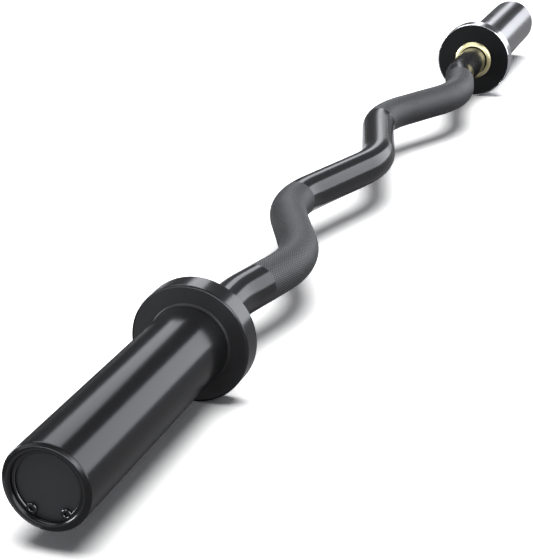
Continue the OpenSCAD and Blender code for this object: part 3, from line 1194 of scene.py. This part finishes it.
knurls = [("left_knurl", left_start, left_end), ("right_knurl", right_start, right_end)]
for name, start, end in knurls:
    mesh = stretch(name, start, end, KNURL_SPACING, KNURL_SIDES, KNURL_RELIEF, knurl_black)
    placed(name, mesh, "shaft_body", ["shaft"])

# %% [markdown]
# ## The studio
#
# Polished black and chrome have no look of their own: they show the room. The photograph was
# lit by two long softboxes along the bar, one up on each side, before plain white. A world
# that is white to all light would shine on the bar from every side and wash the black out.
# So only the camera and reflections see it white, and for all other light it is a weak, even
# fill.

# %% The world
WORLD_LEVEL = 0.1
COOL_WHITE = (0.93, 0.95, 1.0)


def new_world():
    """White to the camera and to reflections, and a soft even fill for the rest."""
    world = bpy.data.worlds.new("studio")
    world.use_nodes = True
    tree = world.node_tree
    tree.nodes.clear()
    ray = add(tree, "ShaderNodeLightPath").outputs
    mirrored = sum_of(tree, "MAXIMUM", ray["Is Glossy Ray"], ray["Is Transmission Ray"])
    seen = sum_of(tree, "MAXIMUM", ray["Is Camera Ray"], mirrored)
    fill = add(tree, "ShaderNodeBackground", [
        ("Color", (*COOL_WHITE, 1)), ("Strength", WORLD_LEVEL),
    ]).outputs[0]
    white = add(tree, "ShaderNodeBackground", [
        ("Color", (1, 1, 1, 1)), ("Strength", 1.0),
    ]).outputs[0]
    both = add(tree, "ShaderNodeMixShader", [(0, seen), (1, fill), (2, white)]).outputs[0]
    add(tree, "ShaderNodeOutputWorld", [(0, both)])
    return world


bpy.context.scene.world = new_world()
print("the world fills the shadows at a level of", WORLD_LEVEL)

# %% [markdown]
# ## The floor
#
# The bar lies on pale paper that keeps its soft shadow. Paper alone would come out a light
# grey, so it is a share paler to the camera, and the lamp needn't be turned up. Reflections
# don't see the paper at all: grey cards further down take its place in them.

# %% Pale paper
FLOOR_SIZE = 30
FLOOR_COLOUR = (0.93, 0.93, 0.93, 1)
FLOOR_BOOST = 0.8


def bare_finish(name):
    """A material with an empty tree, and that tree."""
    material = bpy.data.materials.new(name)
    material.use_nodes = True
    material.node_tree.nodes.clear()
    return material, material.node_tree


def floor_finish():
    """Pale paper: matt for all light, and a share paler again to the camera alone."""
    material, tree = bare_finish("pale_floor")
    paper = add(tree, "ShaderNodeBsdfDiffuse", [("Color", FLOOR_COLOUR)]).outputs[0]
    nothing = add(tree, "ShaderNodeEmission", [("Strength", 0.0)]).outputs[0]
    ray = add(tree, "ShaderNodeLightPath").outputs["Is Camera Ray"]
    share = sum_of(tree, "MULTIPLY", ray, FLOOR_BOOST)
    extra = add(tree, "ShaderNodeMixShader", [(0, share), (1, nothing), (2, paper)]).outputs[0]
    both = add(tree, "ShaderNodeAddShader", [(0, paper), (1, extra)]).outputs[0]
    add(tree, "ShaderNodeOutputMaterial", [(0, both)])
    return material


def ribbon(name, pairs, material):
    """A sheet that spans pairs of points. It is part of the studio, not of the bar."""
    mesh = bpy.data.meshes.new(name)
    faces = [(2 * k, 2 * k + 1, 2 * k + 3, 2 * k + 2) for k in range(len(pairs) - 1)]
    mesh.from_pydata([p for pair in pairs for p in pair], [], faces)
    mesh.materials.append(material)
    made = in_scene(name, mesh)
    return made


def sheet(name, width, length, material):
    """A flat sheet round the origin, width along Y and length along X."""
    x, y = length / 2, width / 2
    return ribbon(name, [((-x, y, 0), (-x, -y, 0)), ((x, y, 0), (x, -y, 0))], material)


floor = sheet("floor", FLOOR_SIZE, FLOOR_SIZE, floor_finish())
floor.location.z = cad_box[0].z
floor.visible_glossy = False
floor.visible_diffuse = False
floor.visible_shadow = False
print("the floor lies at", round(floor.location.z / MM, 1), "mm")

# %% [markdown]
# ## Shining sheets
#
# What gives polished metal its look are the reflections of the softboxes. An area lamp has one
# brightness and straight edges. The bands on the real bar change in width and in brightness
# along it, so each softbox here is a sheet with as many rows as it needs, and an attribute
# holds the brightness of each row. Only reflections see these sheets.

# %% A sheet that shines


def glow(name):
    """A material that shines as strongly as the mesh's `level` attribute says."""
    material, tree = bare_finish(name)
    level = add(tree, "ShaderNodeAttribute", attribute_name="level").outputs["Fac"]
    inputs = [("Color", (*COOL_WHITE, 1)), ("Strength", level)]
    light = add(tree, "ShaderNodeEmission", inputs).outputs[0]
    add(tree, "ShaderNodeOutputMaterial", [(0, light)])
    return material


def for_reflections_only(card):
    """Hides a card from everything but glossy rays."""
    card.visible_camera = False
    card.visible_diffuse = False
    card.visible_transmission = False
    card.visible_shadow = False


def lit_card(name, rows, material):
    """A shining sheet that only reflections see. Each row is two points and their level."""
    card = ribbon(name, [(low, high) for low, high, _ in rows], material)
    levels = card.data.attributes.new("level", "FLOAT", "POINT")
    levels.data.foreach_set("value", [level for row in rows for level in (row[2], row[2])])
    for_reflections_only(card)
    return card


soft_glow = glow("soft_glow")
print("the softboxes shine in", [round(c, 2) for c in COOL_WHITE])

# %% Two long softboxes
STRIP_DISTANCE = 1.0
LEFT_STRIP = (
    (-1.2, -46, 0, 2.1),
    (0.7, -46, -1, 2.1),
    (1.1, -46, -14, 2.4),
    (1.4, -46, -17, 2.4),
    (3.1, -46, -19, 2.15),
    (3.5, -46, -19, 1.4),
    (8, -46, -19, 1.4),
)
RIGHT_STRIP = (
    (-8, 34, 87, 2.7),
    (0.7, 34, 87, 2.7),
    (1.2, 34, 87, 3.0),
    (3.1, 36, 87, 2.4),
    (3.5, 37, 87, 1.2),
    (8, 37, 87, 1.2),
)


def around_bar(degrees, distance):
    """A place at an angle from straight up, leaning to the camera's side, round the bar."""
    angle = math.radians(degrees)
    return Vector((0, -math.sin(angle) * distance, math.cos(angle) * distance))


def strip(name, edge_list, material):
    """A softbox along the bar. Each row is a place along it, two angles and a level."""
    rows = []
    for x, low, high, level in edge_list:
        along = Vector((x, 0, 0))
        ends = [along + around_bar(angle, STRIP_DISTANCE) for angle in (low, high)]
        rows.append((*ends, level))
    return lit_card(name, rows, material)


for name, edge_list in (("left_strip", LEFT_STRIP), ("right_strip", RIGHT_STRIP)):
    strip(name, edge_list, soft_glow)
    print(name, "has", len(edge_list), "rows")

# %% Two short cards on the floor
CARD_HEIGHT = 0.5 * MM
NEAR_CARD = (-0.75, -0.42, 0.012, 0.1, 0.5)
FAR_CARD = (-0.1, 0.38, 0.005, 0.3, 0.85)


def ground_card(name, low_x, high_x, low_y, high_y, level, material):
    """A shining sheet just above the floor, between two places along and across the bar."""
    height = floor.location.z + CARD_HEIGHT
    rows = [(Vector((x, low_y, height)), Vector((x, high_y, height)), level)
            for x in (low_x, high_x)]
    return lit_card(name, rows, material)


for name, card in (("near_card", NEAR_CARD), ("far_card", FAR_CARD)):
    ground_card(name, *card, soft_glow)
    print(name, "is", round(card[1] - card[0], 2), "m long")

# %% [markdown]
# ## Small softboxes
#
# The ends of the bar and the flange catch a few glints of their own, and the long strips can't
# give those. Area lamps are enough here, because their reflections are too small to show any
# shape. They reach only reflections, so that the soft shading stays as it is.

# %% Glints on the ends
# Each box: a name, its place, width, height, turn in degrees and level.
BOXES = [
    ("front_box", (-2.4, 0.25, 0.2), 1.5, 0.4, -90, 4.5),
    ("left_box", (-1.5, 0.87, 0.26), 0.7, 0.3, -134, 1.2),
    ("side_box", (-0.66, 1.2, 0.2), 0.7, 0.5, 180, 12.0),
]


def box_light(name, place, width, height, turn, level):
    """A small upright softbox that only reflections see, turned about the vertical."""
    light = bpy.data.lights.new(name, "AREA")
    light.shape = "RECTANGLE"
    light.color = COOL_WHITE
    light.size = width
    light.size_y = height
    light.energy = level * width * height * math.pi
    made = in_scene(name, light)
    made.location = place
    made.rotation_euler = (math.radians(90), 0, math.radians(turn))
    made.visible_diffuse = False


for box in BOXES:
    box_light(*box)
print("small softboxes:", len(BOXES))

# %% [markdown]
# ## What else the metal mirrors
#
# Between the bright bands the metal is dark grey and not black, so something grey is mirrored
# there. A matt arch over the bar and two matt grounds just under the floor give it that. They
# could shine as the softboxes do, but a matt card takes its light from the scene, so it stays
# right when a lamp is changed. The grounds also stand in for the floor in bounced light,
# which keeps the underside of the bar dark.

# %% A grey arch and two grey grounds
CARD_DISTANCE = 1.4
CARD_LENGTH = 24
CARD_EDGES = (-105, 105)
CARD_STEPS = 24
ARCH_GREY = (0.3, 0.3, 0.31)
# Each ground: a name, its grey, its place and size, and how far it lies under the floor.
GROUNDS = [
    ("grey_ground", (0.26, 0.26, 0.268), (0, 0, 5.6, 24), 0.2 * MM),
    ("shaded_ground", (0.09, 0.09, 0.093), (0.5, 0.36, 0.6, 3), 0.1 * MM),
]


def matt(name, colour):
    """A finish that mirrors nothing."""
    return new_finish(name, colour, 1.0, gloss=0.0)[0]


def matt_ground(name, colour, size, depth):
    """A matt card just under the floor: reflections and bounced light see it in its place."""
    x, y, width, length = size
    card = sheet(name, width, length, matt(name, colour))
    card.location = (x, y, floor.location.z - depth)
    for_reflections_only(card)
    card.visible_diffuse = True


def card_arch():
    """A long arched card over the bar, grey and matt, from side to side."""
    low, high = CARD_EDGES
    end = Vector((CARD_LENGTH / 2, 0, 0))
    arch = [around_bar(low + (high - low) * k / CARD_STEPS, CARD_DISTANCE)
            for k in range(CARD_STEPS + 1)]
    return ribbon("card_arch", [(p - end, p + end) for p in arch], matt("grey_arch", ARCH_GREY))


for ground in GROUNDS:
    matt_ground(*ground)
for_reflections_only(card_arch())
print("the arch spans", CARD_EDGES[1] - CARD_EDGES[0], "degrees")

# %% [markdown]
# ## The lamp overhead
#
# The shadow lies right under the bar with wide soft edges, as under one very large softbox.
# A sun with a wide angle gives such a shadow, equally soft along the whole bar. A large area
# lamp would be brighter near its middle. Reflections don't see the sun, because the strips
# are already there to be mirrored.

# %% A large soft lamp
SUN_STRENGTH = 3.0
SUN_ANGLE = math.radians(50)
SUN_LEAN = math.radians(3)

sun_data = bpy.data.lights.new("overhead", "SUN")
sun_data.energy = SUN_STRENGTH
sun_data.angle = SUN_ANGLE
sun = in_scene("overhead", sun_data)
sun.rotation_euler.x = SUN_LEAN
sun.visible_glossy = False
print("lamps:", len(bpy.data.lights))
